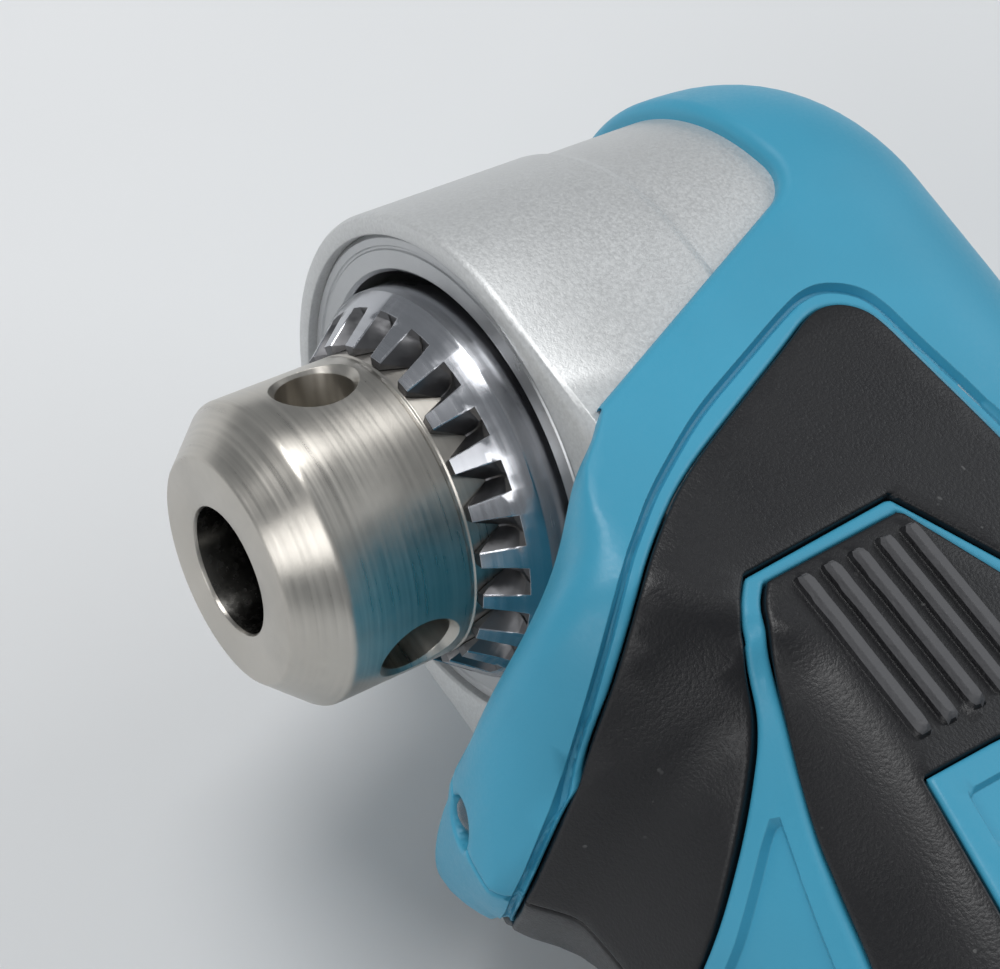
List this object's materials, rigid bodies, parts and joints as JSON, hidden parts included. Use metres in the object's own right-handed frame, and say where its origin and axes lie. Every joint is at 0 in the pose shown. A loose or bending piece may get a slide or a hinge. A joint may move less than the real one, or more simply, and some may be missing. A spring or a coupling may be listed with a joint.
{
  "type": "right angle drill",
  "caption": "Cordless right angle drill: keyed chuck under a cast gear head, two-part moulded body with soft grip pads, paddle trigger and slide-on battery.",
  "frame": {"origin": "centre of the chuck mouth, on the spindle axis", "axes": "+X from the spindle axis along the handle to the battery, +Y from the chuck mouth into the gear head, +Z across the body to its left side"},
  "size_m": [0.3067, 0.116, 0.075],
  "materials": {
    "teal_shell": "satin moulded",
    "soft_grip": "fine matt grain",
    "cast_case": "fine cast grain",
    "chuck_steel": "turned, warm grey",
    "polished_steel": "polished",
    "bearing_steel": "ground",
    "dark_steel": "black oxide",
    "gear_steel": "machined",
    "magnet": "sintered",
    "rotor_core": "laminated, lacquered",
    "black_plastic": "fine spark grain",
    "red_plastic": "satin moulded",
    "carbon": "sintered",
    "clear_lens": "clear moulded",
    "circuit_board": "lacquered",
    "cell_sleeve": "shrink sleeve"
  },
  "bodies": {
    "housing": {"left_housing": "teal_shell", "right_housing": "teal_shell", "left_front_pad": "soft_grip", "right_front_pad": "soft_grip", "left_ribbed_pad": "soft_grip", "right_ribbed_pad": "soft_grip", "gear_case": "cast_case", "retaining_ring": "bearing_steel", "front_spindle_bearing": "bearing_steel", "bearing_circlip": "dark_steel", "rear_spindle_bearing": "bearing_steel", "pinion_front_bearing": "bearing_steel", "pinion_rear_bearing": "bearing_steel", "bearing_plate": "cast_case", "gear_case_screws": "dark_steel", "motor_can": "bearing_steel", "motor_magnets": "magnet", "motor_end_cap": "black_plastic", "motor_brushes": "carbon", "trigger_pin": "bearing_steel", "trigger_spring": "bearing_steel", "switch_box": "black_plastic", "light_lens": "clear_lens", "light_board": "circuit_board", "terminal_block": "black_plastic", "housing_screws": "dark_steel", "motor_leads": "red_plastic"},
    "spindle": {"chuck_body": "chuck_steel", "chuck_washer": "dark_steel", "chuck_screw": "dark_steel", "spindle": "gear_steel", "bevel_gear": "gear_steel"},
    "sleeve": {"chuck_gear_sleeve": "polished_steel", "chuck_nut": "gear_steel"},
    "jaw_1": {"chuck_jaw_1": "dark_steel"},
    "jaw_2": {"chuck_jaw_2": "dark_steel"},
    "jaw_3": {"chuck_jaw_3": "dark_steel"},
    "pinion": {"bevel_pinion": "gear_steel", "spur_gear": "gear_steel"},
    "rotor": {"rotor": "rotor_core", "motor_pinion": "gear_steel", "cooling_fan": "black_plastic"},
    "trigger": {"trigger": "black_plastic"},
    "plunger": {"switch_plunger": "red_plastic"},
    "selector": {"reversing_selector": "black_plastic"},
    "battery": {"battery_case": "black_plastic", "battery_cover": "black_plastic", "battery_cells": "cell_sleeve"},
    "button": {"release_button": "red_plastic"}
  },
  "joints": [
    {"name": "spindle_spin", "type": "hinge", "parent": "housing", "child": "spindle", "pos_m": [0, 0, 0], "axis": [0, 1, 0], "continuous": true},
    {"name": "pinion_spin", "type": "hinge", "parent": "housing", "child": "pinion", "pos_m": [0, 0.05128, 0], "axis": [1, 0, 0], "continuous": true},
    {"name": "rotor_spin", "type": "hinge", "parent": "housing", "child": "rotor", "pos_m": [0, 0.03808, 0], "axis": [1, 0, 0], "continuous": true},
    {"name": "sleeve_turn", "type": "hinge", "parent": "spindle", "child": "sleeve", "pos_m": [0, 0, 0], "axis": [0, 1, 0], "range_deg": [0, 3040]},
    {"name": "jaw_1_slide", "type": "slide", "parent": "spindle", "child": "jaw_1", "axis": [-0.1545, -0.9511, 0.2676], "range_m": [0, 0.0153]},
    {"name": "jaw_2_slide", "type": "slide", "parent": "spindle", "child": "jaw_2", "axis": [0.309, -0.9511, 0], "range_m": [0, 0.0153]},
    {"name": "jaw_3_slide", "type": "slide", "parent": "spindle", "child": "jaw_3", "axis": [-0.1545, -0.9511, -0.2676], "range_m": [0, 0.0153]},
    {"name": "trigger_squeeze", "type": "hinge", "parent": "housing", "child": "trigger", "pos_m": [0.06804, 0.01598, 0], "axis": [0, 0, 1], "range_deg": [0, 5], "stiffness_Nm_per_rad": 2, "springref_deg": -3.44},
    {"name": "plunger_slide", "type": "slide", "parent": "housing", "child": "plunger", "axis": [0, 1, 0], "range_m": [0, 0.0048]},
    {"name": "selector_slide", "type": "slide", "parent": "housing", "child": "selector", "axis": [0, 0, 1], "range_m": [-0.003, 0.003]},
    {"name": "battery_slide", "type": "slide", "parent": "housing", "child": "battery", "axis": [0, -1, 0], "range_m": [0, 0.068]},
    {"name": "button_press", "type": "slide", "parent": "battery", "child": "button", "axis": [0, 1, 0], "range_m": [0, 0.0025], "stiffness_N_per_m": 1200, "springref_m": -0.001}
  ],
  "couplings": [
    {"joint": "pinion_spin", "follows": "spindle_spin", "ratio": -2.5},
    {"joint": "rotor_spin", "follows": "spindle_spin", "ratio": 6.6667},
    {"joint": "jaw_1_slide", "follows": "sleeve_turn", "m_per_rad": 0.00028648},
    {"joint": "jaw_2_slide", "follows": "sleeve_turn", "m_per_rad": 0.00028648},
    {"joint": "jaw_3_slide", "follows": "sleeve_turn", "m_per_rad": 0.00028648},
    {"joint": "plunger_slide", "follows": "trigger_squeeze", "m_per_rad": 0.05425}
  ]
}
